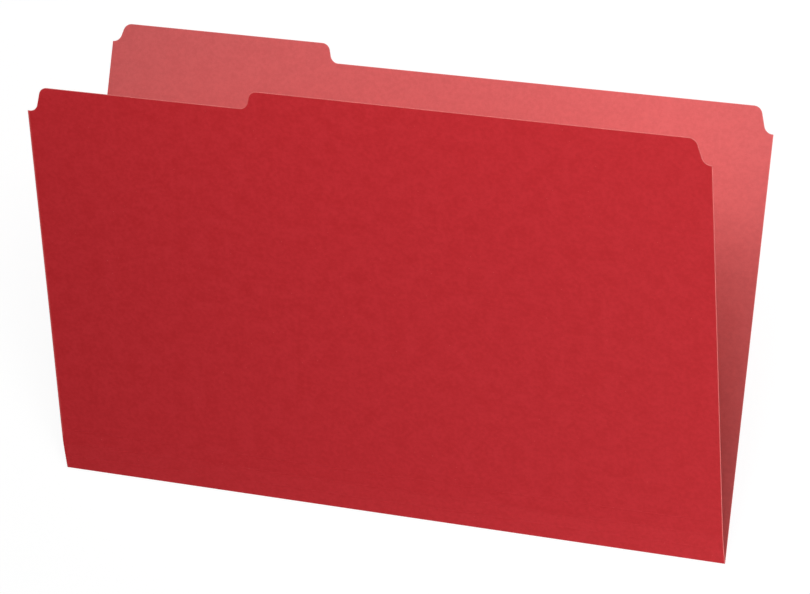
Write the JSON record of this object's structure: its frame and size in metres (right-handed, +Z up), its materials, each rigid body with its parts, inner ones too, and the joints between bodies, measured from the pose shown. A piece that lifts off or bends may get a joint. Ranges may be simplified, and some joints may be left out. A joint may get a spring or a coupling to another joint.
{
  "type": "file folder",
  "caption": "Legal-size card file folder lying on its back cover, front cover ajar, with a third-cut tab and expansion scores at the fold.",
  "frame": {"origin": "middle of the folder's footprint on the desk, under the outer face of the back cover", "axes": "+X along the fold, to the right of the covers; +Y from the fold to the tab; +Z up from the desk, out of the back cover's inner face"},
  "size_m": [0.3746, 0.2414, 0.0993],
  "materials": {
    "outside_card": "matte dyed card, deep red, the folder's outside",
    "inside_card": "matte dyed card, lighter red, the folder's inside"
  },
  "bodies": {
    "back_side": {"back_cover": "inside_card"},
    "lower_strip": {"score_strip_1": "outside_card"},
    "middle_strip": {"score_strip_2": "outside_card"},
    "upper_strip": {"score_strip_3": "outside_card"},
    "front_side": {"front_cover": "outside_card"}
  },
  "joints": [
    {"name": "main_fold", "type": "hinge", "parent": "back_side", "child": "lower_strip", "pos_m": [0, -0.1206, 0.00043], "axis": [1, 0, 0], "range_deg": [-24.6, 148.7]},
    {"name": "score_1", "type": "hinge", "parent": "lower_strip", "child": "middle_strip", "pos_m": [0, -0.11397, 0.0048], "axis": [1, 0, 0], "range_deg": [0, 1]},
    {"name": "score_2", "type": "hinge", "parent": "middle_strip", "child": "upper_strip", "pos_m": [0, -0.10712, 0.00881], "axis": [1, 0, 0], "range_deg": [0, 4.7]},
    {"name": "score_3", "type": "hinge", "parent": "upper_strip", "child": "front_side", "pos_m": [0, -0.09996, 0.01224], "axis": [1, 0, 0], "range_deg": [0, 1]}
  ]
}
